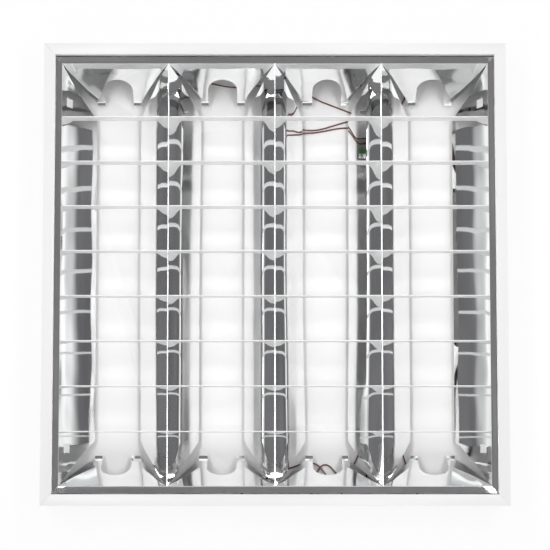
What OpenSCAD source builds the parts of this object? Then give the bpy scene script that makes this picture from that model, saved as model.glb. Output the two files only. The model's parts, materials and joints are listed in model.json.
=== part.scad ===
// Square ceiling light for four short tubes, with a mirror louvre in a white steel case.
// It lies on its back: the mounting face is z = 0 and the louvre faces +Z.
// X runs across the lanes, Y runs along the tubes, and the origin is the centre of the mounting face.

/* [Case] */
// Outer width across the lanes
body_w = 620; // [612:1:640]
// Outer height from the mounting face to the rim
body_h = 81; // [78:1:96]
// Steel sheet of the case
sheet = 0.8; // [0.6:0.1:1.0]
// Width of the flat rim that faces the room
rim_w = 15; // [14:0.5:18]
// Depth of the louvre's face below the rim
recess = 8; // [6:0.5:9]
// Foot of each end cap on the back panel
cap_foot = 13; // [12.5:0.5:14]
// Spacing across the lanes of the four fixing slots in the back
mount_dx = 286; // [276:2:296]
// Spacing along the tubes of the four fixing slots in the back
mount_dy = 400; // [380:5:430]
// Width of a fixing slot
mount_slot_w = 6; // [5:0.5:7]
// End-to-end length of a fixing slot
mount_slot_l = 12; // [10:1:14]

/* [Tubes and lampholders] */
// Tube length between its cap faces
tube_l = 589.8; // [585:0.2:595]
// Depth of the tube's axis below the louvre's face
tube_drop = 42; // [41:0.5:43]
// Thickness of a lampholder along the tube
holder_t = 12; // [12:0.5:13]
// Half width of a lampholder, which is also its round top's radius
holder_r = 12; // [11.5:0.5:14]
// Radius of the turning part in a lampholder
rotor_r = 9; // [8:0.1:9]
// Slot in the turning part for the tube's pins
pin_slot = 3; // [2.6:0.1:3.4]

/* [Louvre] */
// Width of the flat mirror strip along the lanes
rail_w = 8; // [7:0.5:9]
// Width of the flat mirror strip across the ends
end_rail_w = 9; // [8:0.5:12]
// Depth of the reflectors
louvre_h = 62; // [58:1:64]
// Full width of a folded reflector at its open back
fold_w = 81; // [76:1:84]
// Full angle of a folded reflector at its front edge
fold_angle = 75; // [70:1:78]
// Width that a side reflector covers
side_w = 40; // [36:1:42]
// Angle of a side reflector to the vertical at its front edge
side_angle = 24; // [20:1:28]
// Inward run of a slanted end plate from front to back
end_run = 37.5; // [34:0.5:40]
// Mirror sheet
mirror_t = 0.5; // [0.4:0.1:0.6]
// Height of a cross blade
blade_h = 22; // [18:1:24]
// Thickness of a cross blade
blade_t = 1; // [0.8:0.1:1.2]
// Spacing of the cross blades
blade_pitch = 60.5; // [56:0.5:62]
// Width of a tube cut-out in an end plate
arch_w = 40; // [38:1:42]

/* [Control gear] */
// Length of the control gear's base plate with its feet
gear_l = 250; // [230:2:270]
// Width of the control gear
gear_w = 40; // [38:1:44]
// Height of the control gear's cover above its base plate
gear_h = 27; // [25:1:28]
// Place of the control gear's middle along the tubes
gear_y = 30; // [26:1:34]
// Sheet of the control gear's cover
cover_t = 0.6; // [0.5:0.1:0.8]
// Thickness of the circuit board
board_t = 1.6; // [1.2:0.2:2]
// Height of the circuit board above the base plate
board_lift = 4.4; // [4:0.2:5]
// Length of the terminal block's three poles together
block_l = 36; // [33:3:39]
// Width of the terminal block
block_w = 18; // [16:1:20]
// Height of the terminal block
block_h = 16; // [15:1:18]
// Place of the terminal block's middle along the tubes
block_y = 203; // [201:1:205]
// Place of the cable entry along the tubes
entry_y = 150; // [120:5:160]
// Bore of the cable entry bush
entry_bore = 10; // [8:1:12]
// Radius of a lamp wire
wire_r = 1; // [0.8:0.1:1.1]

/* [Fastening and fit] */
// Shank radius of a case screw
screw_r = 2; // [1.5:0.1:2.2]
// Head radius of a case screw
head_r = 3.5; // [3:0.1:4]
// Head height of a case screw
head_h = 2.2; // [1.8:0.1:2.6]
// Distance of the hinge axis and latches from the middle, along the hinge
hinge_y = 234; // [225:1:240]
// Depth of the hinge axis below the louvre's face
hinge_drop = 5; // [4.5:0.1:5.5]
// Radius of a hinge pin
hinge_pin_r = 1.25; // [1:0.05:1.3]
// Radial clearance of pins and turning parts
running = 0.06; // [0.03:0.01:0.09]
// Gap between the louvre and the lip of the rim along the sides
louvre_gap = 0.5; // [0.4:0.1:0.7]
// Gap between the louvre and the lip of the rim at the ends
louvre_end_gap = 1.5; // [0.5:0.1:2]
// Gap between pieces that are fitted side by side
fit_gap = 0.15; // [0.1:0.05:0.2]

/* [Hidden] */
$fn = 48;
eps = 0.01;
lanes = 4;
ends = [1, -1];
white = [0.95, 0.95, 0.94];
mirror_grey = [0.72, 0.73, 0.75];
blade_grey = [0.86, 0.87, 0.88];
zinc = [0.66, 0.67, 0.68];
brown = [0.38, 0.2, 0.15];

// The case is as long as a tube, its two lampholders and what stands behind them
pin_gap = 0.5;
wall_gap = 1;
half_w = body_w / 2;
holder_y = tube_l / 2 + pin_gap;
bracket_y = holder_y + holder_t;
half_l = bracket_y + sheet + wall_gap + sheet;
open_x = half_w - rim_w;
open_y = half_l - rim_w;
foot_top = 3 * sheet;

// Louvre
louvre_z = body_h - recess;
back_z = louvre_z - louvre_h;
outer_x = open_x - louvre_gap;
outer_y = open_y - louvre_end_gap;
side_x = outer_x - rail_w;
end_y = outer_y - end_rail_w;
lip_gap = 0.4;
rail_lip = 3;
lane_pitch = 2 * side_x / lanes;
tube_z = louvre_z - tube_drop;
slant = 90 - atan(end_run / louvre_h);
arch_r = arch_w / 2;
blades = 8;
wall_steps = 8;
wall_step = louvre_h / wall_steps;
fold_slope = tan(fold_angle / 2);
fold_curve = (fold_slope * louvre_h - fold_w / 2) / pow(louvre_h, 2);
side_slope = tan(side_angle);
side_curve = (side_w - side_slope * louvre_h) / pow(louvre_h, 2);
mirror_down = mirror_t / sin(fold_angle / 2);

function ridge_x(i) = (i - lanes / 2) * lane_pitch;
function lane_x(i) = ridge_x(i) + lane_pitch / 2;
function blade_y(i) = (i - (blades - 1) / 2) * blade_pitch;
function depths(to) = [for (k = [0:wall_steps]) to * k / wall_steps];
function flip(list) = [for (k = [len(list) - 1:-1:0]) list[k]];
// Run of a folded reflector's wall, and of a side reflector, at a depth below the louvre's face
function fold_run(d) = fold_slope * d - fold_curve * d * d;
function side_run(d) = side_slope * d + side_curve * d * d;
function end_at(d) = end_y - end_run * d / louvre_h;
function left_wall(i, d) = i == 0 ? -side_x + mirror_t + side_run(d) : ridge_x(i) + fold_run(d);
function right_wall(i, d) = i == lanes - 1 ? side_x - mirror_t - side_run(d) : ridge_x(i + 1) - fold_run(d);

// Hinge along the left rail, and the latches on the right one
hinge_x = -(open_x - lip_gap - hinge_drop);
hinge_z = louvre_z - hinge_drop;
knuckle_r = 2.6;
knuckle_t = 1.2;
bracket_t = 3;
post = 2;
arm_drop = 10;
arm_t = 4;
wall_pad = [24, 16];
clip_pad_l = 20;
pad_t = 1;
side_play = 0.4;
spring_gap = 0.3;
catch_t = 0.8;
catch_x = side_x + 4;
catch_foot = 14;
catch_w = 12;
catch_pad_w = 16;
leaf = 0.6;
leaf_w = 10;
leaf_base = 14;
leaf_rise = 13;
leaf_tip = [6, 8];

// Plastic plugs in the slots of the side reflectors: length along the rail, and depths of the slot's two ends
plug_l = 12;
plug_top = 10;
plug_bottom = 22;
plug_rim = 2;
plug_t = 1;

// Lampholders
holder_pocket = 8.5;
rotor_l = 8.3;
journal_r = 2;
wire_low = 8;
wire_high = 14;
wire_in = 3;
wire_hole_r = wire_r + 0.15;
contact_x = 9.9;
contact_t = 0.6;
contact_l = 8;
contact_h = 12;

// Control gear
gear_x = ridge_x(3);
gear_foot = 18;
board_z = 2 * sheet + board_lift;
board_l = gear_l - 24;
terminal_l = 13;
terminal_h = 12;
terminal_z = board_z + board_t;
pole_pitch = block_l / 3;
terminal_pitch = 5.5;
terminal_in = 5;
gear_wire_z = terminal_z + 3.9;
stud_spot = [30, block_y - 27];
block_in = 3;
block_wire_z = 7;
// Parts on the circuit board: width, length and place along it
choke = [26, 30, -5];
capacitor = [20, 22, 51];
can_r = 8;
can_y = -48;
chip = [12, 14, -71];
entry_r = entry_bore / 2;
bush_wall = 4;
bush_collar = 2.5;

// Screw seats: x, y and the height of the face under the head
cap_seats = [for (e = ends, i = [1:3]) [ridge_x(i), e * (holder_y + holder_t / 2), foot_top]];
gear_seats = [for (e = ends) [gear_x, gear_y + e * (gear_l / 2 - 6), 2 * sheet]];
block_seats = [[0, block_y + block_l / 2 + 4.5, sheet + 3]];
screw_seats = concat(cap_seats, gear_seats, block_seats);

// Points of the wire routes. A wire runs from a terminal to a lampholder along points chosen by hand:
// out from a terminal of the control gear, beside a lampholder, beside the terminal block or the stud
function by_gear(k, e, out, z) = [gear_x + (k - 2.5) * terminal_pitch, gear_y + e * (board_l / 2 + out), z];
function in_gear(k, e) = by_gear(k, e, -terminal_in, gear_wire_z);
function at_gear_mouth(k, e) = by_gear(k, e, 15, gear_wire_z);
function by_holder(i, x, e, front, z) = [lane_x(i) + x, e * (holder_y - front), z];
function in_holder(i, s, e, z) = by_holder(i, s * (holder_r - wire_in), e, -holder_t / 2, z);
function at_holder(i, s, e, z) = by_holder(i, s * (holder_r + 7), e, -holder_t / 2, z);
function by_block(k, x, y, z) = [x, block_y + k * pole_pitch + y, z];
function by_stud(x, y, z) = [stud_spot[0] + x, stud_spot[1] + y, z];

supply_a = [
    by_block(1, block_in, 0, block_wire_z), by_block(1, 14, 0, block_wire_z), by_block(1, 39, -5, 3),
    by_block(1, 60, -5.4, 1.8), by_block(1, 90, 4, 1.8), by_block(1, 108, 9, 1.8),
    by_gear(0, 1, 73, 2.4) - [3.5, 0, 0], by_gear(1, 1, 42, 8), at_gear_mouth(1, 1), in_gear(1, 1)
];
supply_b = [
    by_block(0, block_in, 0, block_wire_z), by_block(0, 14, 0, block_wire_z), by_block(0, 39, 2.5, 3),
    by_block(0, 60, 3.6, 1.8), by_block(0, 91, 10.5, 1.8), by_block(0, 112, 10, 1.8),
    by_gear(0, 1, 63, 2.4) - [7.5, 0, 0], by_gear(0, 1, 39, 8), at_gear_mouth(0, 1), in_gear(0, 1)
];
top_lane_3 = [
    in_gear(2, 1), at_gear_mouth(2, 1), by_gear(2, 1, 42, 6), by_gear(2, 1, 81, 2) - [10.5, 0, 0],
    by_holder(2, 30.4, 1, 59.4, 1.8), by_holder(2, 13.4, 1, 52.9, 1.8), by_holder(2, -21.6, 1, 39.4, 3),
    by_holder(2, -30.6, 1, 23.4, 5), by_holder(2, -27.6, 1, 3.4, wire_low), at_holder(2, -1, 1, wire_low),
    in_holder(2, -1, 1, wire_low)
];
top_lane_4 = [
    in_gear(4, 1), at_gear_mouth(4, 1), by_gear(4, 1, 47, 4) + [4.5, 0, 0], by_holder(3, -43, 1, 60.4, 1.8),
    by_holder(3, -27, 1, 25.4, 3), by_holder(3, -23, 1, 5.4, 7), at_holder(3, -1, 1, wire_low),
    in_holder(3, -1, 1, wire_low)
];
top_link = [
    in_holder(2, -1, 1, wire_high), at_holder(2, -1, 1, wire_high), by_holder(2, -51.6, 1, 11.4, 9),
    by_holder(1, 61.6, 1, 22.4, 5), by_holder(1, 19.6, 1, 26.9, 4), by_holder(1, -20.4, 1, 19.9, 4.5),
    by_holder(0, 75, 1, 5.4, wire_low), by_holder(0, 25, 1, -6, wire_low), in_holder(0, 1, 1, wire_low)
];
top_near = [
    in_holder(1, -1, 1, wire_high), at_holder(1, -1, 1, wire_high), at_holder(0, 1, 1, wire_high),
    in_holder(0, 1, 1, wire_high)
];
bottom_lane_3 = [
    in_gear(1, -1), at_gear_mouth(1, -1), by_gear(1, -1, 47, 5), by_gear(0, -1, 127, 1.8) - [3.5, 0, 0],
    by_holder(2, 34.4, -1, 33.4, 2.2), by_holder(2, 20.4, -1, 23.4, 3), by_holder(2, 11.4, -1, 29.4, 3.4),
    by_holder(2, 2.4, -1, 40.9, 3.6), by_holder(2, -7.6, -1, 40.9, 3.6), by_holder(2, -15.6, -1, 27.4, 4),
    by_holder(2, -22.6, -1, 7.4, 7), at_holder(2, -1, -1, wire_low), in_holder(2, -1, -1, wire_low)
];
bottom_lane_4 = [
    in_gear(4, -1), at_gear_mouth(4, -1), by_gear(4, -1, 57, 4) + [4.5, 0, 0], by_holder(3, -43, -1, 60.4, 1.8),
    by_holder(3, -25, -1, 15.4, 5), at_holder(3, -1, -1, wire_low), in_holder(3, -1, -1, wire_low)
];
bottom_link = [
    in_holder(2, 1, -1, wire_high), at_holder(2, 1, -1, wire_high), by_holder(2, 19.4, -1, 5.4, 12),
    by_holder(2, 8.4, -1, 14.4, 9), by_holder(2, -2.6, -1, 27.4, 6.4), by_holder(2, -13.6, -1, 43.4, 6),
    by_holder(2, -33.6, -1, 43.4, 4), by_holder(1, 61.6, -1, 23.4, 3), by_holder(1, 27.6, -1, 3.4, wire_low),
    at_holder(1, 1, -1, wire_low), in_holder(1, 1, -1, wire_low)
];
bottom_near = [
    in_holder(1, -1, -1, wire_low), at_holder(1, -1, -1, wire_low), at_holder(0, 1, -1, wire_low),
    in_holder(0, 1, -1, wire_low)
];
earth_route = [
    by_block(-1, block_in, 0, block_wire_z), by_block(-1, 12, 0, block_wire_z), by_stud(-10, 19.5, 6),
    by_stud(-3, 22, 4.8), by_stud(0, 19, 4.1), by_stud(0, 15, 4), by_stud(0, 8, 4)
];
wire_sides = 8;

function unit(v) = v / norm(v);
function heading(p, i) = unit(p[min(i + 1, len(p) - 1)] - p[max(i - 1, 0)]);
function ring(p, i, r) =
    let (t = heading(p, i), s = unit(cross(t, [0, 0, 1])), u = cross(s, t))
    [for (k = [0:wire_sides - 1]) p[i] + r * (cos(360 * k / wire_sides) * s + sin(360 * k / wire_sides) * u)];

// A wire swept along its route
module wire(p) {
    n = wire_sides;
    last = (len(p) - 1) * n;
    rings = [for (i = [0:len(p) - 1]) each ring(p, i, wire_r)];
    sides = [for (i = [0:len(p) - 2], k = [0:n - 1]) each
        let (a = i * n + k, b = i * n + (k + 1) % n)
        [[a, b, a + n], [b, b + n, a + n]]];
    caps = [[for (k = [n - 1:-1:0]) k], [for (k = [0:n - 1]) last + k]];
    polyhedron(rings, concat(sides, caps));
}

// An outline in X and Z, extruded along Y about y = 0
module along_y(l) {
    translate([0, l / 2, 0]) rotate([90, 0, 0]) linear_extrude(l) children();
}

// An outline in Y and Z, extruded along X about x = 0
module along_x(l) {
    translate([-l / 2, 0, 0]) rotate([90, 0, 90]) linear_extrude(l) children();
}

module at_end(e) {
    if (e > 0) children();
    else mirror([0, 1, 0]) children();
}

module at_side(s) {
    if (s > 0) children();
    else mirror([1, 0, 0]) children();
}

// The space between the two rows of slanted end plates
module louvre_ends() {
    along_x(body_w) polygon([
        [-end_at(0), louvre_z], [end_at(0), louvre_z],
        [end_at(louvre_h), back_z], [-end_at(louvre_h), back_z]
    ]);
}

module tray() {
    color(white) difference() {
        union() {
            translate([-half_w, -half_l, 0]) cube([body_w, 2 * half_l, sheet]);
            for (s = ends) at_side(s) tray_side();
        }
        for (sx = ends, sy = ends) translate([sx * mount_dx / 2, sy * mount_dy / 2, -1]) fixing_slot();
        translate([0, entry_y, -1]) cylinder(r = entry_r + bush_wall, h = sheet + 2);
        for (p = screw_seats) translate([p[0], p[1], -1]) cylinder(r = screw_r + fit_gap, h = sheet + 2);
    }
}

module tray_side() {
    wall_x = half_w - sheet;
    translate([wall_x, -half_l, 0]) cube([sheet, 2 * half_l, body_h]);
    translate([0, 0, body_h - sheet]) linear_extrude(sheet) polygon([
        [half_w, half_l - fit_gap], [open_x, open_y - fit_gap],
        [open_x, -open_y + fit_gap], [half_w, -half_l + fit_gap]
    ]);
    translate([open_x, -open_y, louvre_z + lip_gap]) cube([sheet, 2 * open_y, recess - lip_gap]);
}

module fixing_slot() {
    r = mount_slot_w / 2;
    run = mount_slot_l - mount_slot_w;
    for (s = ends) translate([s * run / 2, 0, 0]) cylinder(r = r, h = sheet + 2);
    translate([-run / 2, -r, 0]) cube([run, mount_slot_w, sheet + 2]);
}

module end_cap(e) {
    wall_x = half_w - sheet;
    wall_y = half_l - sheet;
    color(white) at_end(e) difference() {
        union() {
            translate([-wall_x, wall_y, sheet]) cube([2 * wall_x, sheet, body_h - sheet]);
            translate([-wall_x, half_l - cap_foot - sheet, sheet]) cube([2 * wall_x, cap_foot + eps, sheet]);
            translate([0, 0, body_h - sheet]) linear_extrude(sheet) polygon([
                [-open_x, open_y], [open_x, open_y], [wall_x, wall_y],
                [wall_x, half_l], [-wall_x, half_l], [-wall_x, wall_y]
            ]);
            translate([-open_x, open_y, louvre_z + lip_gap]) cube([2 * open_x, sheet, recess - lip_gap]);
        }
        cap_holes();
    }
}

// Screw holes through the foot of an end cap and of a bracket, at the positive end
module cap_holes() {
    for (p = cap_seats) if (p[1] > 0)
        translate([p[0], p[1], 0]) cylinder(r = screw_r + fit_gap, h = foot_top + 1);
}

module holder_bracket(e) {
    half = half_w - sheet - 1;
    top = tube_z + holder_r;
    color(zinc) at_end(e) difference() {
        union() {
            translate([-half, holder_y, 2 * sheet]) cube([2 * half, holder_t + sheet, sheet]);
            translate([-half, bracket_y, 2 * sheet]) cube([2 * half, sheet, top - 2 * sheet]);
        }
        cap_holes();
    }
}

module lampholder(i, e) {
    color("white") at_end(e) translate([lane_x(i), 0, 0]) difference() {
        translate([0, holder_y + holder_t / 2, 0]) along_y(holder_t) holder_outline();
        translate([0, holder_y + holder_pocket, tube_z]) rotate([90, 0, 0])
            cylinder(r = rotor_r + running, h = holder_pocket + 1);
        translate([-pin_slot / 2 - fit_gap, holder_y - 1, tube_z])
            cube([pin_slot + 2 * fit_gap, holder_pocket + 1, holder_r + 1]);
        translate([0, bracket_y + 1, tube_z]) rotate([90, 0, 0])
            cylinder(r = journal_r + running, h = holder_t);
        for (s = ends) at_side(s) {
            translate([contact_x - fit_gap, bracket_y - contact_l - fit_gap, tube_z - contact_h / 2])
                cube([contact_t + 2 * fit_gap, contact_l + 1, contact_h]);
            for (z = [wire_low, wire_high]) translate([holder_r - wire_in, holder_y + holder_t / 2, z])
                rotate([0, 90, 0]) cylinder(r = wire_hole_r, h = wire_in + 1);
        }
    }
}

module holder_outline() {
    translate([0, tube_z]) circle(r = holder_r);
    translate([-holder_r, foot_top]) square([2 * holder_r, tube_z - foot_top]);
}

module rotor(i, e) {
    color([0.9, 0.9, 0.88]) at_end(e) translate([lane_x(i), 0, tube_z]) difference() {
        union() {
            translate([0, holder_y + rotor_l, 0]) rotate([90, 0, 0]) cylinder(r = rotor_r, h = rotor_l);
            translate([0, bracket_y - fit_gap, 0]) rotate([90, 0, 0])
                cylinder(r = journal_r, h = holder_t - rotor_l);
        }
        translate([-pin_slot / 2, holder_y - 1, -rotor_r - 1])
            cube([pin_slot, rotor_l, 2 * rotor_r + 2]);
    }
}

module lamp_contacts() {
    color("peru") for (e = ends, i = [0:lanes - 1], s = ends)
        at_end(e) translate([lane_x(i), 0, 0]) at_side(s)
            translate([contact_x, bracket_y - contact_l - fit_gap, tube_z - contact_h / 2])
                cube([contact_t, contact_l, contact_h]);
}

module at_gear() {
    translate([gear_x, gear_y, 0]) children();
}

module ballast_base() {
    color(zinc) difference() {
        at_gear() {
            translate([-gear_w / 2, -gear_l / 2, sheet]) cube([gear_w, gear_l, sheet]);
            for (sx = ends, sy = ends)
                translate([sx * (gear_w / 2 - 6), sy * (board_l / 2 - 18), sheet])
                    cylinder(r = 2.5, h = board_z - sheet);
        }
        for (p = gear_seats) translate([p[0], p[1], 0]) cylinder(r = screw_r + fit_gap, h = 3);
    }
}

module ballast_cover() {
    l = gear_l - 2 * gear_foot;
    window_h = terminal_z + terminal_h + 1 - 2 * sheet;
    color([0.9, 0.9, 0.89]) at_gear() translate([0, 0, 2 * sheet]) difference() {
        translate([-gear_w / 2, -l / 2, 0]) cube([gear_w, l, gear_h]);
        translate([-gear_w / 2 + cover_t, -l / 2 + cover_t, -1])
            cube([gear_w - 2 * cover_t, l - 2 * cover_t, gear_h + 1 - cover_t]);
        translate([-gear_w / 2 + cover_t, -l / 2 - 1, -1])
            cube([gear_w - 2 * cover_t, l + 2, window_h + 1]);
    }
}

module ballast_board() {
    w = gear_w - 2 * cover_t - 2;
    color("darkgreen") at_gear() translate([-w / 2, -board_l / 2, board_z]) cube([w, board_l, board_t]);
}

module ballast_parts() {
    room = gear_h + 2 * sheet - cover_t - terminal_z;
    color("dimgray") at_gear() translate([0, 0, terminal_z]) {
        on_board(choke, room - 1);
        on_board(capacitor, room - 3);
        translate([0, can_y, 0]) cylinder(r = can_r, h = room - 2);
        on_board(chip, room - 6);
    }
}

module on_board(part, h) {
    translate([-part[0] / 2, part[2] - part[1] / 2, 0]) cube([part[0], part[1], h]);
}

module ballast_terminals() {
    w = gear_w - 2 * cover_t - 4;
    color([0.82, 0.83, 0.82]) at_gear() for (e = ends) at_end(e) difference() {
        translate([-w / 2, board_l / 2 - terminal_l, terminal_z]) cube([w, terminal_l, terminal_h]);
        for (k = [0:5]) translate([(k - 2.5) * terminal_pitch, board_l / 2 - terminal_in, gear_wire_z])
            rotate([-90, 0, 0]) cylinder(r = wire_hole_r, h = terminal_in + 1);
    }
}

module terminal_block() {
    color("ivory") translate([0, block_y, sheet]) difference() {
        union() {
            translate([-block_w / 2, -block_l / 2, 0]) cube([block_w, block_l, block_h]);
            translate([-block_w / 2, block_l / 2 - 1, 0]) cube([block_w, 10, 3]);
        }
        translate([0, block_l / 2 + 4.5, -1]) cylinder(r = screw_r + fit_gap, h = 5);
        for (k = [-1:1], s = ends) translate([0, k * pole_pitch, 0]) {
            translate([s * block_w / 4, 0, block_h - 5]) cylinder(r = 2.5 + fit_gap, h = 6);
            at_side(s) translate([block_in, 0, block_wire_z - sheet]) rotate([0, 90, 0])
                cylinder(r = wire_hole_r, h = block_w);
        }
    }
}

module terminal_screws() {
    color("silver") for (k = [-1:1], s = ends)
        translate([s * block_w / 4, block_y + k * pole_pitch, sheet + block_h - 5]) difference() {
            cylinder(r = 2.5, h = 3);
            translate([-3, -0.4, 2]) cube([6, 0.8, 2]);
        }
}

module earth_stud() {
    tag_z = 2 * sheet;
    color("silver") translate([stud_spot[0], stud_spot[1], 0]) {
        translate([0, 0, sheet]) cylinder(r = 2, h = 9);
        difference() {
            translate([0, 0, sheet]) cylinder(r = 4.5, h = sheet);
            cylinder(r = 2 + fit_gap, h = 5);
        }
        difference() {
            translate([0, 0, tag_z + 1]) cylinder(r = 4, h = 3.2, $fn = 6);
            cylinder(r = 2 + fit_gap, h = 9);
        }
        difference() {
            union() {
                translate([0, 0, tag_z]) cylinder(r = 4, h = 1);
                translate([-1.5, 0, tag_z]) cube([3, 9, 1]);
                translate([0, 14, 4]) rotate([90, 0, 0]) cylinder(r = 2, h = 7);
            }
            cylinder(r = 2 + fit_gap, h = 9);
            translate([0, 15, 4]) rotate([90, 0, 0]) cylinder(r = wire_hole_r, h = 7);
        }
    }
}

module cable_bush() {
    outer = entry_r + bush_wall;
    color([0.25, 0.25, 0.26]) translate([0, entry_y, 0]) difference() {
        union() {
            cylinder(r = outer - fit_gap, h = sheet);
            translate([0, 0, sheet]) cylinder(r = outer + bush_collar, h = 2);
            translate([0, 0, sheet]) cylinder(r = outer - 1.5, h = 7);
        }
        translate([0, 0, -1]) cylinder(r = entry_r, h = 12);
    }
}

module case_screws() {
    tip = 0.2;
    color("silver") for (p = screw_seats) translate([p[0], p[1], 0]) difference() {
        union() {
            translate([0, 0, tip]) cylinder(r = screw_r, h = p[2]);
            translate([0, 0, p[2]]) cylinder(r = head_r, h = head_h);
        }
        for (a = [0, 90]) rotate(a) translate([-2, -0.4, p[2] + head_h - 1]) cube([4, 0.8, 2]);
    }
}

// Bent bracket on the left wall with an ear that the hinge pin turns in
module hinge_brackets() {
    wall_x = -half_w + sheet;
    arm_top = hinge_z - arm_drop;
    arm_bottom = arm_top - arm_t;
    pad_z = (arm_top + arm_bottom - wall_pad[1]) / 2;
    color(zinc) for (e = ends) translate([0, e * hinge_y, 0]) difference() {
        union() {
            translate([wall_x, -wall_pad[0] / 2, pad_z]) cube([sheet, wall_pad[0], wall_pad[1]]);
            along_y(bracket_t) polygon([
                [wall_x, arm_bottom], [hinge_x + post, arm_bottom], [hinge_x + post, hinge_z],
                [hinge_x - post, hinge_z], [hinge_x - post, arm_top], [wall_x, arm_top]
            ]);
            translate([hinge_x, 0, hinge_z]) along_y(bracket_t) circle(r = knuckle_r);
        }
        translate([hinge_x, 0, hinge_z]) along_y(bracket_t + 2) circle(r = hinge_pin_r + running);
    }
}

module hinge_clips() {
    pad_top = louvre_z - sheet;
    pad_x = -outer_x + 1;
    pad_w = outer_x - side_x - 1 - sheet - fit_gap;
    inner = bracket_t / 2 + side_play;
    color(zinc) for (e = ends) translate([0, e * hinge_y, 0]) {
        translate([pad_x, -clip_pad_l / 2, pad_top - pad_t]) cube([pad_w, clip_pad_l, pad_t]);
        for (s = ends) at_end(s) translate([0, inner + knuckle_t / 2, 0]) along_y(knuckle_t) {
            translate([hinge_x, hinge_z]) circle(r = knuckle_r);
            translate([hinge_x - knuckle_r, hinge_z]) square([knuckle_r + post, pad_top - hinge_z]);
        }
        translate([hinge_x, 0, hinge_z]) along_y(2 * (inner + knuckle_t) + 2) circle(r = hinge_pin_r);
    }
}

module latch_catches() {
    pad_top = louvre_z - sheet;
    pad_x = side_x + sheet + fit_gap;
    color(zinc) for (e = ends) translate([0, e * hinge_y, 0]) {
        translate([pad_x, -catch_pad_w / 2, pad_top - pad_t]) cube([outer_x - 1 - pad_x, catch_pad_w, pad_t]);
        translate([catch_x, -catch_w / 2, pad_top - catch_foot]) cube([catch_t, catch_w, catch_foot]);
    }
}

// Leaf spring on the right wall that bears on the catch
module latch_springs() {
    base_x = half_w - 2 * sheet;
    tip_x = catch_x + catch_t + spring_gap;
    mid = louvre_z - sheet - catch_foot + 4;
    low = mid - leaf_rise;
    color("silver") for (e = ends) translate([0, e * hinge_y, 0]) {
        translate([base_x, -leaf_base / 2, low - leaf_base + 1]) cube([sheet, leaf_base, leaf_base]);
        along_y(leaf_w) polygon([
            [base_x, low], [tip_x, mid], [tip_x + leaf_tip[0], mid + leaf_tip[1]],
            [tip_x + leaf_tip[0] + leaf, mid + leaf_tip[1]], [tip_x + 1.3 * leaf, mid], [base_x, low + 1]
        ]);
    }
}

module supply_wires() {
    color(brown) {
        wire(supply_a);
        wire(supply_b);
    }
}

module earth_wire() {
    color("yellowgreen") wire(earth_route);
}

module lamp_wires_top() {
    color(brown) for (p = [top_lane_3, top_lane_4, top_link, top_near]) wire(p);
}

module lamp_wires_bottom() {
    color(brown) for (p = [bottom_lane_3, bottom_lane_4, bottom_link, bottom_near]) wire(p);
}

// A flat strip of the louvre's frame; its bent flange lies along the reflector behind it
module side_rail(s) {
    low_x = side_x - rail_lip * side_run(wall_step) / wall_step;
    low_z = louvre_z - rail_lip;
    color(mirror_grey) at_side(s) {
        translate([0, 0, louvre_z - sheet]) linear_extrude(sheet) polygon([
            [side_x, -end_y + fit_gap], [outer_x, -outer_y + fit_gap],
            [outer_x, outer_y - fit_gap], [side_x, end_y - fit_gap]
        ]);
        intersection() {
            along_y(2 * end_y) polygon([
                [side_x, louvre_z], [side_x + sheet, louvre_z], [low_x + sheet, low_z], [low_x, low_z]
            ]);
            louvre_ends();
        }
    }
}

module end_rail(e) {
    low_y = end_at(rail_lip);
    low_z = louvre_z - rail_lip;
    color(mirror_grey) at_end(e) {
        translate([0, 0, louvre_z - sheet]) linear_extrude(sheet) polygon([
            [-side_x, end_y], [side_x, end_y], [outer_x, outer_y], [-outer_x, outer_y]
        ]);
        along_x(2 * side_x) polygon([
            [end_y, louvre_z], [low_y, low_z], [low_y + sheet, low_z], [end_y + sheet, louvre_z]
        ]);
    }
}

module side_reflector(s) {
    d = depths(louvre_h);
    outer = [for (h = d) [side_x - side_run(h), louvre_z - h]];
    inner = [for (h = flip(d)) [side_x - mirror_t - side_run(h), louvre_z - h]];
    color(mirror_grey) at_side(s) difference() {
        intersection() {
            along_y(2 * end_y) polygon(concat(outer, inner));
            louvre_ends();
        }
        for (e = ends) translate([side_x - side_w, e * hinge_y - plug_l / 2, louvre_z - plug_bottom])
            cube([side_w, plug_l, plug_bottom - plug_top]);
    }
}

// White plastic plugs that fill the slots of the side reflectors from behind
module clip_plugs() {
    color("white") for (s = ends, e = ends) at_side(s) translate([0, e * hinge_y, 0]) {
        along_y(plug_l + 2 * plug_rim)
            plug_outline(plug_top - plug_rim, plug_bottom + plug_rim, fit_gap, fit_gap + plug_t);
        along_y(plug_l - 2 * fit_gap)
            plug_outline(plug_top + fit_gap, plug_bottom - fit_gap, -mirror_t, fit_gap + plug_t);
    }
}

// A band along the back of a side reflector, between two depths and two distances across its sheet
module plug_outline(from, to, near, far) {
    d = [for (k = [0:3]) from + (to - from) * k / 3];
    polygon(concat(
        [for (h = d) [side_x - side_run(h) + far, louvre_z - h]],
        [for (h = flip(d)) [side_x - side_run(h) + near, louvre_z - h]]
    ));
}

// A folded mirror sheet, cut to the slanted ends and slotted from the front for the cross blades
module v_reflector(i) {
    slot = blade_t + 2 * fit_gap;
    color(mirror_grey) translate([ridge_x(i), 0, 0]) difference() {
        intersection() {
            along_y(2 * end_y) fold_outline();
            louvre_ends();
        }
        translate([0, 0, -mirror_down]) along_y(2 * end_y + 2) fold_outline();
        for (k = [0:blades - 1]) translate([-fold_w / 2, blade_y(k) - slot / 2, louvre_z - blade_h])
            cube([fold_w, slot, blade_h + 1]);
    }
}

module fold_outline() {
    d = depths(louvre_h);
    right = [for (h = d) [fold_run(h), louvre_z - h]];
    left = [for (h = flip(d)) if (h > 0) [-fold_run(h), louvre_z - h]];
    polygon(concat(right, left));
}

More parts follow.
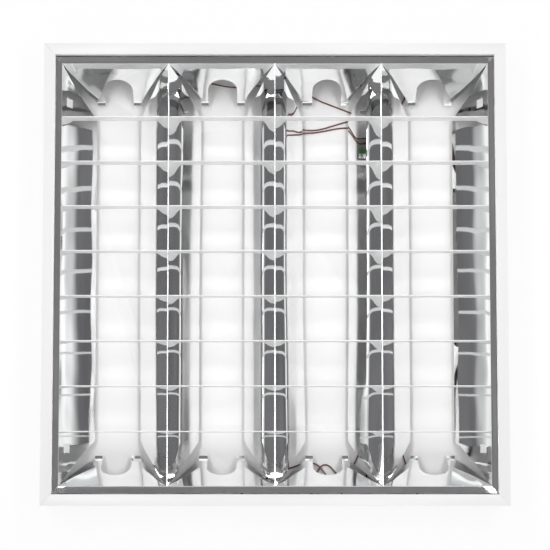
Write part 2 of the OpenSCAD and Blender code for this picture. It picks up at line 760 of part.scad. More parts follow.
module end_plates(e) {
    foot_y = end_at(louvre_h);
    foot_l = 4;
    color(mirror_grey) at_end(e) for (i = [0:lanes - 1]) difference() {
        union() {
            intersection() {
                lane_space(i);
                along_x(body_w) polygon([
                    [end_at(0), louvre_z], [end_at(louvre_h), back_z],
                    [end_at(louvre_h) - mirror_t, back_z], [end_at(0) - mirror_t, louvre_z]
                ]);
            }
            translate([left_wall(i, louvre_h), foot_y - foot_l, back_z])
                cube([right_wall(i, louvre_h) - left_wall(i, louvre_h), foot_l, mirror_t]);
        }
        translate([lane_x(i), end_at(tube_drop), tube_z]) rotate([slant, 0, 0]) {
            cylinder(r = arch_r, h = 40, center = true);
            translate([-arch_r, -60, -20]) cube([arch_w, 60, 40]);
        }
    }
}

// The space between the two mirror walls of a lane
module lane_space(i) {
    d = depths(louvre_h);
    left = [for (h = d) [left_wall(i, h), louvre_z - h]];
    right = [for (h = flip(d)) [right_wall(i, h), louvre_z - h]];
    along_y(2 * end_y) polygon(concat(left, right));
}

module cross_blade(i) {
    d = [0, blade_h / 2, blade_h];
    left = [for (h = d) [left_wall(0, h) + fit_gap, louvre_z - h]];
    right = [for (h = flip(d)) [right_wall(lanes - 1, h) - fit_gap, louvre_z - h]];
    color(blade_grey) translate([0, blade_y(i), 0]) along_y(blade_t) polygon(concat(left, right));
}

tray();
end_cap(1);  // end_cap_top
end_cap(-1);  // end_cap_bottom
holder_bracket(1);  // holder_bracket_top
holder_bracket(-1);  // holder_bracket_bottom
for (i = [0:lanes - 1]) {
    lampholder(i, 1);
    lampholder(i, -1);
    rotor(i, 1);
    rotor(i, -1);
}
lamp_contacts();
ballast_base();
ballast_cover();
ballast_board();
ballast_parts();
ballast_terminals();
terminal_block();
terminal_screws();
earth_stud();
cable_bush();
case_screws();
hinge_brackets();
latch_springs();
supply_wires();
earth_wire();
lamp_wires_top();
lamp_wires_bottom();
side_rail(-1);  // louvre_rail_left
side_rail(1);  // louvre_rail_right
end_rail(1);  // louvre_rail_top
end_rail(-1);  // louvre_rail_bottom
side_reflector(-1);  // side_reflector_left
side_reflector(1);  // side_reflector_right
for (i = [1:lanes - 1]) v_reflector(i);
end_plates(1);  // end_plates_top
end_plates(-1);  // end_plates_bottom
for (i = [0:blades - 1]) cross_blade(i);
hinge_clips();
latch_catches();
clip_plugs();
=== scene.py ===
# A square ceiling light with a mirror louvre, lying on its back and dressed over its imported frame.
import json
import math
import bpy
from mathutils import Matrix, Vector, noise


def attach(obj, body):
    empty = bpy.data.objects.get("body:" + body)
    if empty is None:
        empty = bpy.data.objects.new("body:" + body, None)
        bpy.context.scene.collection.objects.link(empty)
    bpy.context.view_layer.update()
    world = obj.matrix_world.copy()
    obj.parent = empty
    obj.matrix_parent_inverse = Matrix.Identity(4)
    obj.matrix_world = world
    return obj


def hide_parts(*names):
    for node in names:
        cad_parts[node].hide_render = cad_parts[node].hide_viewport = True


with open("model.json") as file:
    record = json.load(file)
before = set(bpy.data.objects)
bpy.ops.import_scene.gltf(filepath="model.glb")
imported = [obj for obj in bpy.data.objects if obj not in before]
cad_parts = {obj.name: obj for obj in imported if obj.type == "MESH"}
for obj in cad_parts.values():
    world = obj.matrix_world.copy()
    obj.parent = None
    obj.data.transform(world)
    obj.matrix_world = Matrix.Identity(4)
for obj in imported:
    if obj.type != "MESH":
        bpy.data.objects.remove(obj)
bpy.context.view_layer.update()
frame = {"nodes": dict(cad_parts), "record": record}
mm = 0.001

# Sizes of the light in millimetres, as the source has them
rim_z = 81
louvre_z = 73
louvre_h = 62
rail_t = 0.8
outer_x = 294.5
outer_y = 293.5
side_x = 286.5
end_y = 284.5
end_run = 37.5
lane_pitch = 143.25
mirror_t = 0.5
fold_slope = math.tan(math.radians(37.5))
fold_curve = (fold_slope * louvre_h - 40.5) / louvre_h**2
side_slope = math.tan(math.radians(24))
side_curve = (40 - side_slope * louvre_h) / louvre_h**2
blade_h = 22
blade_rows = [(i - 3.5) * 60.5 for i in range(8)]
hinge_y = 234
arch_r = 20
tube_drop = 42
wire_r = 1

# Holes in the mirror sheets, in millimetres: slots for the blades, holes for plugs and pins, tube arches
blade_slot = 1.3
slot_past = 4
slot_reach = 70
plug_in = 8
plug_drop = 16
plug_hole = (14, 12, 12)
pin_r = 1
pin_in = 4
pin_past = 7.3
pin_drop = 12.3
pin_reach = 20
arch_reach = 50
arch_foot = 40


def linear(hex_colour):
    """An sRGB hex colour as linear RGBA."""
    srgb = [int(hex_colour[i:i + 2], 16) / 255 for i in (1, 3, 5)]
    return [c / 12.92 if c <= 0.04045 else ((c + 0.055) / 1.055)**2.4 for c in srgb] + [1.0]


# Camera: above the edge of the light that is low in the picture, looking almost straight down
camera_data = bpy.data.cameras.new("camera")
camera_data.sensor_width = 36
camera_data.lens = 101.13
camera_data.shift_x = 0.0145
camera_data.shift_y = 0.2
camera = bpy.data.objects.new("camera", camera_data)
camera.location = (-0.0106, -0.300, 2.119)
camera.rotation_euler = (math.radians(4.187), 0, 0)
bpy.context.scene.collection.objects.link(camera)
bpy.context.scene.camera = camera


# Materials

def add(tree, kind, inputs=(), **settings):
    """Adds a shader node with its settings; an input is a value, or a node or socket to link."""
    made = tree.nodes.new(kind)
    for name, value in settings.items():
        setattr(made, name, value)
    for socket, value in dict(inputs).items():
        if isinstance(value, bpy.types.Node):
            value = value.outputs[0]
        if isinstance(value, bpy.types.NodeSocket):
            tree.links.new(value, made.inputs[socket])
        else:
            made.inputs[socket].default_value = value
    return made


def finish(name):
    """A new material with an empty node tree."""
    made = bpy.data.materials.new(name)
    made.use_nodes = True
    made.node_tree.nodes.clear()
    return made, made.node_tree


def ramp(node, stops):
    """Sets the stops of a colour ramp: place and colour."""
    while len(node.color_ramp.elements) < len(stops):
        node.color_ramp.elements.new(0.5)
    for element, (position, colour) in zip(node.color_ramp.elements, stops):
        element.position = position
        element.color = colour


def powder_coat(name, colour, shade, painted_light_inside=None):
    """Polyester powder coat on steel: an even white with a fine orange peel and faint clouds in tone.

    Between two depths below the rim it turns to a lighter colour, the last argument: painted light that
    stands in for more light falling inside the case.
    """
    peel_mm = 1.5
    cloud_mm = 70
    inside_from = 6
    inside_to = 9
    made, tree = finish(name)
    place = add(tree, "ShaderNodeTexCoord").outputs["Object"]
    peel = add(tree, "ShaderNodeTexNoise", {"Vector": place, "Scale": 1000 / peel_mm, "Detail": 2.0})
    bump = add(tree, "ShaderNodeBump", {"Height": peel, "Strength": 0.12, "Distance": 0.0002})
    cloud = add(tree, "ShaderNodeTexNoise", {"Vector": place, "Scale": 1000 / cloud_mm, "Detail": 2.0})
    tone = add(tree, "ShaderNodeValToRGB", {"Fac": cloud})
    ramp(tone, [(0.3, linear(shade)), (0.7, linear(colour))])
    tone = tone.outputs["Color"]
    # Painted light: below the rim the coat turns lighter, for the brighter light inside the case
    if painted_light_inside:
        height = add(tree, "ShaderNodeSeparateXYZ", {"Vector": place}).outputs["Z"]
        painted_light_depth = add(tree, "ShaderNodeMapRange", {"Value": height, "From Min": (rim_z - inside_from) * mm,
                                                "From Max": (rim_z - inside_to) * mm})
        tone = add(tree, "ShaderNodeMix", {0: painted_light_depth, 6: tone, 7: linear(painted_light_inside)}, data_type="RGBA").outputs[2]
    shader = add(tree, "ShaderNodeBsdfPrincipled",
                 {"Base Color": tone, "Normal": bump, "Roughness": 0.38, "IOR": 1.5})
    add(tree, "ShaderNodeOutputMaterial", {"Surface": shader})
    return made


def anodised(name, colour, rough, along, line_mm=1.1, strength=0.1):
    """Rolled and anodised aluminium: fine rolling lines, stretched along one axis, and a faint haze."""
    haze_mm = 9
    made, tree = finish(name)
    place = add(tree, "ShaderNodeTexCoord").outputs["Object"]
    stretched = add(tree, "ShaderNodeMapping", {"Vector": place, "Scale": along})
    lines = add(tree, "ShaderNodeTexNoise", {"Vector": stretched, "Scale": 1000 / line_mm, "Detail": 3.0})
    bump = add(tree, "ShaderNodeBump", {"Height": lines, "Strength": strength, "Distance": 0.00002})
    haze = add(tree, "ShaderNodeTexNoise", {"Vector": stretched, "Scale": 1000 / haze_mm, "Detail": 2.0})
    spread = add(tree, "ShaderNodeMapRange", {"Value": haze, "To Min": rough * 0.7, "To Max": rough * 1.3})
    shader = add(tree, "ShaderNodeBsdfPrincipled",
                 {"Base Color": linear(colour), "Metallic": 1.0, "Roughness": spread, "Normal": bump})
    add(tree, "ShaderNodeOutputMaterial", {"Surface": shader})
    return made


def galvanised(name, light, dark):
    """Hot-dip galvanised steel: soft grey with zinc crystals that differ in tone."""
    crystal_mm = 6
    made, tree = finish(name)
    place = add(tree, "ShaderNodeTexCoord").outputs["Object"]
    flakes = add(tree, "ShaderNodeTexVoronoi", {"Vector": place, "Scale": 1000 / crystal_mm})
    tone = add(tree, "ShaderNodeValToRGB", {"Fac": flakes.outputs["Color"]})
    ramp(tone, [(0.0, linear(dark)), (1.0, linear(light))])
    spread = add(tree, "ShaderNodeMapRange",
                 {"Value": flakes.outputs["Color"], "To Min": 0.36, "To Max": 0.5})
    shader = add(tree, "ShaderNodeBsdfPrincipled",
                 {"Base Color": tone, "Metallic": 1.0, "Roughness": spread})
    add(tree, "ShaderNodeOutputMaterial", {"Surface": shader})
    return made


def plated(name, colour, rough):
    """Plated or spring-hard metal: an even bright surface with a fine random haze."""
    haze_mm = 2.5
    made, tree = finish(name)
    place = add(tree, "ShaderNodeTexCoord").outputs["Object"]
    haze = add(tree, "ShaderNodeTexNoise", {"Vector": place, "Scale": 1000 / haze_mm, "Detail": 3.0})
    spread = add(tree, "ShaderNodeMapRange", {"Value": haze, "To Min": rough * 0.8, "To Max": rough * 1.2})
    shader = add(tree, "ShaderNodeBsdfPrincipled",
                 {"Base Color": linear(colour), "Metallic": 1.0, "Roughness": spread})
    add(tree, "ShaderNodeOutputMaterial", {"Surface": shader})
    return made


def moulded(name, colour, shade, rough, grain_mm=0.8):
    """Injection-moulded or extruded plastic: a fine grain in the surface and a slight flow in its tone."""
    flow_mm = 12
    made, tree = finish(name)
    place = add(tree, "ShaderNodeTexCoord").outputs["Object"]
    grain = add(tree, "ShaderNodeTexNoise", {"Vector": place, "Scale": 1000 / grain_mm, "Detail": 2.0})
    bump = add(tree, "ShaderNodeBump", {"Height": grain, "Strength": 0.1, "Distance": 0.0001})
    flow = add(tree, "ShaderNodeTexNoise", {"Vector": place, "Scale": 1000 / flow_mm, "Detail": 2.0})
    tone = add(tree, "ShaderNodeValToRGB", {"Fac": flow})
    ramp(tone, [(0.35, linear(shade)), (0.65, linear(colour))])
    shader = add(tree, "ShaderNodeBsdfPrincipled",
                 {"Base Color": tone, "Normal": bump, "Roughness": rough, "IOR": 1.53})
    add(tree, "ShaderNodeOutputMaterial", {"Surface": shader})
    return made


# The case: an even soft white that is a little duller at the rim than inside, where it is painted lighter as
# painted light for the brighter inside of the case
white_coat = powder_coat("white powder-coated steel", "#edecec", "#ebeaea", "#f9f8f8")
# The gear cover: the same coat, slightly warmer
gear_coat = powder_coat("white powder-coated cover", "#efefed", "#ebebe9")
# Reflectors and frame strips: clear mirror images, drawn out a little by the rolling lines
bright_mirror = anodised("bright anodised aluminium", "#fafbfb", 0.04, (1, 0.02, 1))
# Cross blades: a silky pale grey with no images in it
satin_blade = anodised("matt anodised aluminium", "#fafafa", 0.6, (0.03, 1, 1), 0.8, 0.15)
# Brackets, clips, catches and the base of the gear: dull grey, with crystals that differ in tone
zinc_steel = galvanised("galvanised steel", "#c9cdd0", "#a3a9ad")
# Screws and the earth stud: small bright glints
screw_steel = plated("zinc-plated screw steel", "#cfd1d0", 0.3)
# Leaf springs: a smoother shine than the screws have
spring_steel = plated("bright spring steel", "#c9c9c7", 0.22)
# Lamp contacts: warm brown metal
bronze = plated("phosphor bronze", "#b98a5e", 0.28)
# Lampholders, terminals and clip plugs: a clean white with a soft shine
polycarbonate = moulded("white polycarbonate", "#f2f2ee", "#ecece8", 0.4)
# Rotors: a creamier white beside their holders
polyester = moulded("white thermoplastic polyester", "#e9e8e2", "#e3e2db", 0.35)
# Cable bush: black and dull
rubber = moulded("black rubber", "#262729", "#202123", 0.6)
# Parts on the board: dark grey with a soft shine
resin = moulded("black moulded resin", "#2e2f32", "#27282b", 0.45)
# Board: a shiny deep green with a coarse weave under it
board_mask = moulded("green solder mask on glass epoxy", "#23723f", "#1b6237", 0.3, 2.5)
# Wires: smooth skins with a narrow highlight along them
brown_pvc = moulded("brown PVC insulation", "#6b3f30", "#5f372a", 0.35)
green_pvc = moulded("green PVC insulation", "#3f8f35", "#37822f", 0.35)

finishes = {
    "white_enamel": white_coat,
    "mirror_aluminium": bright_mirror,
    "satin_aluminium": satin_blade,
    "white_plastic": polycarbonate,
    "rotor_plastic": polyester,
    "zinc_steel": zinc_steel,
    "bright_steel": screw_steel,
    "contact_bronze": bronze,
    "gear_enamel": gear_coat,
    "board_green": board_mask,
    "dark_plastic": resin,
    "black_rubber": rubber,
    "brown_wire": brown_pvc,
    "earth_wire": green_pvc,
}
own_finish = {"latch_springs": spring_steel}
slot_of = {part["node"]: part["material_slot"] for part in frame["record"]["subparts"]}
body_of = {node: body for body, nodes in frame["record"]["behaviour"]["bodies"].items() for node in nodes}
for node_name, node_object in frame["nodes"].items():
    node_object.data.materials.clear()
    node_object.data.materials.append(own_finish.get(node_name, finishes[slot_of[node_name]]))


# Shaping

def only(piece):
    """Selects one object and makes it the active one."""
    bpy.ops.object.select_all(action="DESELECT")
    piece.select_set(True)
    bpy.context.view_layer.objects.active = piece


def modifier(piece, kind, **settings):
    """Adds a modifier to a piece and applies it."""
    only(piece)
    made = piece.modifiers.new(kind.lower(), kind)
    for name, value in settings.items():
        setattr(made, name, value)
    bpy.ops.object.modifier_apply(modifier=made.name)


def joined(pieces, name):
    """Joins finished meshes into the first of them and names it."""
    bpy.ops.object.select_all(action="DESELECT")
    for piece in pieces:
        piece.select_set(True)
    bpy.context.view_layer.objects.active = pieces[0]
    if len(pieces) > 1:
        bpy.ops.object.join()
    pieces[0].name = name
    return pieces[0]


def stand_in(piece, node, material, angle=35):
    """Puts a finished piece in the place of a node: its material, shading, body and slot."""
    piece.data.materials.clear()
    piece.data.materials.append(material)
    only(piece)
    bpy.ops.object.shade_smooth_by_angle(angle=math.radians(angle))
    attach(piece, body_of[node])
    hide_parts(node)


def edge_along_y(name, x, z, half, cuts):
    """An open edge along Y at x and z, split into even steps and left selected in edit mode.

    It starts as a grid one metre wide, of which only the edge on the left is kept.
    """
    bpy.ops.object.select_all(action="DESELECT")
    bpy.ops.mesh.primitive_grid_add(x_subdivisions=1, y_subdivisions=cuts, size=1)
    piece = bpy.context.object
    piece.name = name
    bpy.ops.object.mode_set(mode="EDIT")
    bpy.ops.mesh.select_mode(type="VERT")
    bpy.ops.mesh.select_all(action="DESELECT")
    bpy.ops.object.mode_set(mode="OBJECT")
    for v in piece.data.vertices:
        v.select = v.co.x > 0
    bpy.ops.object.mode_set(mode="EDIT")
    bpy.ops.mesh.delete(type="VERT")
    bpy.ops.mesh.select_all(action="SELECT")
    bpy.ops.transform.resize(value=(1, 2 * half * mm, 1))
    bpy.ops.transform.translate(value=(0.5 + x * mm, 0, z * mm))
    bpy.ops.mesh.select_mode(type="EDGE")
    return piece


def draw_out(points):
    """Extrudes the selected edge through the points of a profile, from its first to its last."""
    for (x0, z0), (x1, z1) in zip(points, points[1:]):
        step = ((x1 - x0) * mm, 0, (z1 - z0) * mm)
        bpy.ops.mesh.extrude_region_move(TRANSFORM_OT_translate={"value": step})


def trim(planes):
    """Cuts a sheet in edit mode along planes: a point on each in millimetres, and its outward normal."""
    for point, normal in planes:
        bpy.ops.mesh.select_all(action="SELECT")
        bpy.ops.mesh.bisect(plane_co=[c * mm for c in point], plane_no=normal, clear_outer=True)


# The two planes in which the end plates stand
slanted_ends = [((0, e * end_y, louvre_z), (0, e * louvre_h, -end_run)) for e in (1, -1)]


def face_up(piece):
    """Turns a sheet's faces so that they look out of the light."""
    if sum(p.normal.z * p.area for p in piece.data.polygons) < 0:
        piece.data.flip_normals()


def fold_run(d):
    """How far from its ridge a drawn wall of a fold stands at a depth."""
    return fold_slope * d - fold_curve * d * d


def side_run(d):
    """How far in from its front edge a drawn side reflector stands at a depth."""
    return side_slope * d + side_curve * d * d


def end_at(d):
    """Where the slanted end plates stand along Y at a depth."""
    return end_y - end_run * d / louvre_h


# The thin walls stand a little off their drawn curves once they are bent and clipped in. Two lists give
# the extra slope at five depths, of all folds and of both side sheets. Some walls lean besides: the
# three numbers are for their low end, their middle and their high end.
spring_depths = (0, 12, 24, 40, louvre_h)
fold_spring = (0.0, 0.1, -0.1, 0.05, 0.0)
side_spring = (0.05, 0.05, 0.0, 0.0, 0.0)
leans = {
    "fold 1 left": (-0.03, 0, 0),
    "fold 1 right": (-0.03, -0.03, 0),
    "fold 2 right": (0, -0.05, -0.05),
    "fold 3 left": (0.03, 0, 0),
}
lean_reach = 240


def sprung(wall, d, y):
    """How far a wall stands past its drawn curve at a depth and a place along it, in millimetres."""
    slopes = side_spring if wall.startswith("side") else fold_spring
    past = 0
    for d0, d1, s0, s1 in zip(spring_depths, spring_depths[1:], slopes, slopes[1:]):
        part = min(max(d - d0, 0), d1 - d0)
        past += s0 * part + (s1 - s0) * part * part / (2 * (d1 - d0))
    low_end, middle, high_end = leans.get(wall, (0, 0, 0))
    t = min(abs(y) / lean_reach, 1)
    lean = middle + ((low_end if y < 0 else high_end) - middle) * t * t * (3 - 2 * t)
    return past + lean * d


long_wave = (38, 74, 46)
short_wave = (16, 31, 19)
short_share = 0.25
fade = 8


def ripple(piece, seed, height, still=None, step=1.0):
    """Moves a thin sheet's points along their normals by the slow, seeded waviness of rolled sheet.

    A smaller step gives shorter waves, and still is a share by place that keeps some edges in line.
    """
    normals = [v.normal.copy() for v in piece.data.vertices]
    for v, n in zip(piece.data.vertices, normals):
        p = v.co / mm / step
        wave = noise.noise(Vector((p.x / long_wave[0] + seed, p.y / long_wave[1], p.z / long_wave[2])))
        fine = noise.noise(Vector((p.x / short_wave[0], p.y / short_wave[1] + seed, p.z / short_wave[2])))
        v.co += n * mm * height * (wave + short_share * fine) * (still(v.co / mm) if still else 1)


def thicken(piece, thickness):
    """Gives a sheet its thickness, on the side away from the lane."""
    modifier(piece, "SOLIDIFY", thickness=thickness * mm, offset=-1)


def boxes(name, placed):
    """One mesh of several boxes that cut holes: each a middle and a size in millimetres."""
    made = []
    for middle, size in placed:
        bpy.ops.object.select_all(action="DESELECT")
        bpy.ops.mesh.primitive_cube_add(size=1, location=[c * mm for c in middle])
        made.append(bpy.context.object)
        made[-1].scale = [c * mm for c in size]
    cutter = joined(made, name)
    bpy.ops.object.transform_apply()
    return cutter


def tube(name, middle, radius, length, turn):
    """A plain round bar that cuts a hole."""
    bpy.ops.object.select_all(action="DESELECT")
    bpy.ops.mesh.primitive_cylinder_add(vertices=32, radius=radius * mm, depth=length * mm,
                                        location=[c * mm for c in middle], rotation=turn)
    bpy.ops.object.transform_apply()
    bpy.context.object.name = name
    return bpy.context.object


def cut(piece, cutter):
    """Takes a cutter out of a piece, and stops if that loses most of the piece."""
    before = len(piece.data.polygons)
    modifier(piece, "BOOLEAN", object=cutter, operation="DIFFERENCE", solver="EXACT")
    if len(piece.data.polygons) < before / 2:
        raise RuntimeError("a cut lost most of " + piece.name)


def drop(piece):
    """Removes a cutter that has done its work."""
    bpy.data.objects.remove(piece)


# Reflectors

wall_steps = 16
sheet_cuts = 120
sheet_wave = 0.16
spring_from = 0.5
# The nose of a fold is a small arc that runs into its walls without a step
nose_r = 0.7
nose_end = 0.8
nose_turn = 90 - math.degrees(math.atan(fold_slope + fold_spring[0]))
wall_depths = [louvre_h * k / wall_steps for k in range(wall_steps + 1)]


def nose_point(angle):
    """A point of the round nose of a fold: how far aside and how deep it lies."""
    return nose_r * math.sin(math.radians(angle)), nose_r * (1 - math.cos(math.radians(angle)))


nose_aside, nose_depth = nose_point(nose_turn)
nose_step = nose_aside - nose_depth * (fold_slope + fold_spring[0])


def folded_reflector(number):
    """A folded mirror sheet with a small round nose along its front edge."""
    ridge = (number - 2) * lane_pitch
    nose = [nose_point(nose_turn * k / 2) for k in (-2, -1, 0, 1, 2)]
    nose = [(x, louvre_z - d) for x, d in nose]
    wall = [(nose_step + fold_run(d), louvre_z - d) for d in [nose_end] + wall_depths[1:]]
    points = [(-x, z) for x, z in reversed(wall)] + nose + wall
    first_x, first_z = points[0]
    piece = edge_along_y("v_reflector_%d_sheet" % number, ridge + first_x, first_z, end_y, sheet_cuts)
    draw_out(points)
    trim(slanted_ends)
    bpy.ops.object.mode_set(mode="OBJECT")
    for v in piece.data.vertices:
        x, y, z = v.co / mm
        if z < louvre_z - spring_from:
            side = 1 if x > ridge else -1
            wall_name = "fold %d %s" % (number, "right" if side > 0 else "left")
            v.co.x += side * mm * sprung(wall_name, louvre_z - z, y)
    face_up(piece)
    ripple(piece, 3.1 * number, sheet_wave, lambda p: min(1, abs(p.x - ridge) / fade))
    thicken(piece, mirror_t)
    slot_z = louvre_z - (blade_h - slot_past) / 2
    slot_size = (slot_reach, blade_slot, blade_h + slot_past)
    slots = boxes("slots", [((ridge, y, slot_z), slot_size) for y in blade_rows])
    cut(piece, slots)
    drop(slots)
    return piece


def side_sheet(name, side, seed):
    """A curved outer reflector with a slot for a clip plug, and a pin hole, near each end."""
    points = [(side * (side_x - side_run(d)), louvre_z - d) for d in wall_depths]
    piece = edge_along_y(name, points[0][0], points[0][1], end_y, sheet_cuts)
    draw_out(points)
    trim(slanted_ends)
    bpy.ops.object.mode_set(mode="OBJECT")
    wall_name = "side right" if side > 0 else "side left"
    for v in piece.data.vertices:
        v.co.x -= side * mm * sprung(wall_name, louvre_z - v.co.z / mm, v.co.y / mm)
    face_up(piece)
    ripple(piece, seed, sheet_wave, lambda p: min(1, (louvre_z - p.z) / fade))
    thicken(piece, mirror_t)
    plug_x = side * (side_x - plug_in)
    holes = boxes("holes", [((plug_x, e * hinge_y, louvre_z - plug_drop), plug_hole) for e in (1, -1)])
    cut(piece, holes)
    drop(holes)
    for e in (1, -1):
        pin_at = (side * (side_x - pin_in), e * (hinge_y + pin_past), louvre_z - pin_drop)
        pin = tube("pin", pin_at, pin_r, pin_reach, (0, math.pi / 2, 0))
        cut(piece, pin)
        drop(pin)
    return piece


for number in (1, 2, 3):
    stand_in(folded_reflector(number), "v_reflector_%d" % number, bright_mirror)
stand_in(side_sheet("side_reflector_left_sheet", -1, 17.3), "side_reflector_left", bright_mirror)
stand_in(side_sheet("side_reflector_right_sheet", 1, 23.9), "side_reflector_right", bright_mirror)


# Flat frame strips of the louvre: each dips a little towards the lanes, and turns down into a flange

dip = 0.45
flange = 3
bend_before = 0.3
bend_past = 0.1
bend_drop = 0.2
strip_cuts = 150
strip_wave = 0.12


def frame_strip(name, node, inner, outer, reach, run, turn, seed, grain):
    """A mitred strip made along Y on the right, then turned to its side of the louvre.

    Its reach is half its length at the outer and at the inner edge, run is how far its flange leans in,
    and a smaller grain gives shorter waves.
    """
    width = outer - inner
    bend_z = louvre_z - dip - bend_drop
    points = [(outer - width * k / 3, louvre_z - dip * k / 3) for k in (0, 1, 2)]
    points += [(inner + bend_before, louvre_z - dip), (inner - bend_past, bend_z)]
    points += [(inner - run * k / 3, bend_z - (flange - dip) * k / 3) for k in (1, 2, 3)]
    half, half_in = reach
    piece = edge_along_y(name, points[0][0], points[0][1], half, strip_cuts)
    draw_out(points)
    trim([((inner, e * half_in, 0), (half_in - half, e * width, 0)) for e in (1, -1)])
    bpy.ops.mesh.select_all(action="SELECT")
    bpy.ops.transform.rotate(value=-math.radians(turn), orient_axis="Z", center_override=(0, 0, 0))
    bpy.ops.object.mode_set(mode="OBJECT")
    face_up(piece)
    ripple(piece, seed, strip_wave, step=grain)
    thicken(piece, rail_t)
    stand_in(piece, node, bright_mirror)


# The side strips end a little short of the mitres, so that the strips don't run into each other
fit = 0.15
side_reach = (outer_y - fit, end_y - fit)
end_reach = (outer_x, side_x)
frame_strip("rail_strip_right", "louvre_rail_right", side_x, outer_x, side_reach, 1.4, 0, 3.3, 0.5)
frame_strip("rail_strip_left", "louvre_rail_left", side_x, outer_x, side_reach, 1.4, 180, 8.1, 0.25)
frame_strip("rail_strip_top", "louvre_rail_top", end_y, outer_y, end_reach, 1.8, 90, 5.7, 0.6)
frame_strip("rail_strip_bottom", "louvre_rail_bottom", end_y, outer_y, end_reach, 1.8, 270, 6.4, 0.35)


# Slanted end plates with their tube cut-outs and small feet

plate_cuts_across = 40
plate_cuts_down = 36
plate_wave = 0.2
foot_rows = 4
foot_l = 4
foot_lift = 0.22
foot_wander = 0.25


def lane_edges(lane, d, y):
    """The left and right mirror walls of a lane at a depth, near one end."""
    ridge = (lane - 2) * lane_pitch
    if lane == 0:
        left = -side_x + mirror_t + side_run(d) + sprung("side left", d, y)
    else:
        left = ridge + nose_step + fold_run(d) + sprung("fold %d right" % lane, d, y)
    if lane == 3:
        right = side_x - mirror_t - side_run(d) - sprung("side right", d, y)
    else:
        right = ridge + lane_pitch - nose_step - fold_run(d) - sprung("fold %d left" % (lane + 1), d, y)
    return left, right


def end_plate(lane, e, seed):
    """One plate, laid as a grid between the lane's walls, with its foot turned at the back."""
    rows = plate_cuts_down + foot_rows
    bpy.ops.object.select_all(action="DESELECT")
    bpy.ops.mesh.primitive_grid_add(x_subdivisions=plate_cuts_across, y_subdivisions=rows, size=1)
    piece = bpy.context.object
    for v in piece.data.vertices:
        u = v.co.x + 0.5
        row = round((v.co.y + 0.5) * rows)
        d = louvre_h * min(row / plate_cuts_down, 1)
        past = max(row - plate_cuts_down, 0) / foot_rows * foot_l
        left, right = lane_edges(lane, d, e * end_at(d))
        wander = noise.noise(Vector((seed * 3.7 + 2 * round(u), 2 * u, 0)))
        lift = past * (foot_lift + foot_wander * wander)
        back = e * (end_at(d) - mirror_t - past)
        v.co = Vector((left + (right - left) * u, back, louvre_z - d + abs(lift))) * mm
    face_up(piece)
    ripple(piece, seed, plate_wave)
    thicken(piece, mirror_t)
    arch = arch_cutter((lane - 1.5) * lane_pitch, e)
    cut(piece, arch)
    drop(arch)
    return piece


def arch_cutter(x, e):
    """A round-topped bar that stands square to a slanted end plate and takes its tube cut-out."""
    slope = Vector((0, -e * end_run, -louvre_h)).normalized()
    middle = Vector((x, e * end_at(tube_drop), louvre_z - tube_drop)) * mm
    square_on = math.pi / 2 - e * math.atan(end_run / louvre_h)
    bpy.ops.object.select_all(action="DESELECT")
    bpy.ops.mesh.primitive_cylinder_add(vertices=64, radius=arch_r * mm, depth=arch_reach * mm,
                                        location=middle, rotation=(square_on, 0, 0))
    bpy.ops.object.transform_apply()
    for v in bpy.context.object.data.vertices:
        if (v.co - middle).dot(slope) > 0:
            v.co += slope * arch_foot * mm
    return bpy.context.object


def end_plates(node, e):
    """The four plates at one end, each with its cut-out, as one piece."""
    plates = [end_plate(lane, e, 11.7 + 5.3 * lane + 2.2 * e) for lane in range(4)]
    stand_in(joined(plates, node + "_sheet"), node, bright_mirror)


end_plates("end_plates_top", 1)
end_plates("end_plates_bottom", -1)


# Wires: each route in millimetres as the source has it, its corners rounded

routes = {
    "supply_wires": [
        [(3, 215, 7), (14, 215, 7), (39, 210, 3), (60, 209.6, 1.8), (90, 219, 1.8), (108, 224, 1.8),
         (126, 216, 2.4), (135, 185, 8), (135, 158, 11.5), (135, 138, 11.5)],
        [(3, 203, 7), (14, 203, 7), (39, 205.5, 3), (60, 206.6, 1.8), (91, 213.5, 1.8), (112, 213, 1.8),
         (122, 206, 2.4), (129.5, 182, 8), (129.5, 158, 11.5), (129.5, 138, 11.5)]],
    "lamp_wires_top": [
        [(140.5, 138, 11.5), (140.5, 158, 11.5), (140.5, 185, 6), (130, 224, 2), (102, 236, 1.8),
         (85, 242.5, 1.8), (50, 256, 3), (41, 272, 5), (44, 292, 8), (52.6, 301.4, 8), (62.6, 301.4, 8)],
        [(151.5, 138, 11.5), (151.5, 158, 11.5), (156, 190, 4), (171.9, 235, 1.8), (187.9, 270, 3),
         (191.9, 290, 7), (195.9, 301.4, 8), (205.9, 301.4, 8)],
        [(62.6, 301.4, 14), (52.6, 301.4, 14), (20, 284, 9), (-10, 273, 5), (-52, 268.5, 4),
         (-92, 275.5, 4.5), (-139.9, 290, 8), (-189.9, 301.4, 8), (-205.9, 301.4, 8)],
        [(-80.6, 301.4, 14), (-90.6, 301.4, 14), (-195.9, 301.4, 14), (-205.9, 301.4, 14)]],
    "lamp_wires_bottom": [
        [(135, -78, 11.5), (135, -98, 11.5), (135, -130, 5), (126, -210, 1.8), (106, -262, 2.2),
         (92, -272, 3), (83, -266, 3.4), (74, -254.5, 3.6), (64, -254.5, 3.6), (56, -268, 4),
         (49, -288, 7), (52.6, -301.4, 8), (62.6, -301.4, 8)],
        [(151.5, -78, 11.5), (151.5, -98, 11.5), (156, -140, 4), (171.9, -235, 1.8), (189.9, -280, 5),
         (195.9, -301.4, 8), (205.9, -301.4, 8)],
        [(80.6, -301.4, 14), (90.6, -301.4, 14), (91, -290, 12), (80, -281, 9), (69, -268, 6.4),
         (58, -252, 6), (38, -252, 4), (-10, -272, 3), (-44, -292, 8), (-52.6, -301.4, 8),
         (-62.6, -301.4, 8)],
        [(-80.6, -301.4, 8), (-90.6, -301.4, 8), (-195.9, -301.4, 8), (-205.9, -301.4, 8)]],
    "earth_wire": [
        [(3, 191, 7), (12, 191, 7), (20, 195.5, 6), (27, 198, 4.8), (30, 195, 4.1), (30, 191, 4),
         (30, 184, 4)]],
}


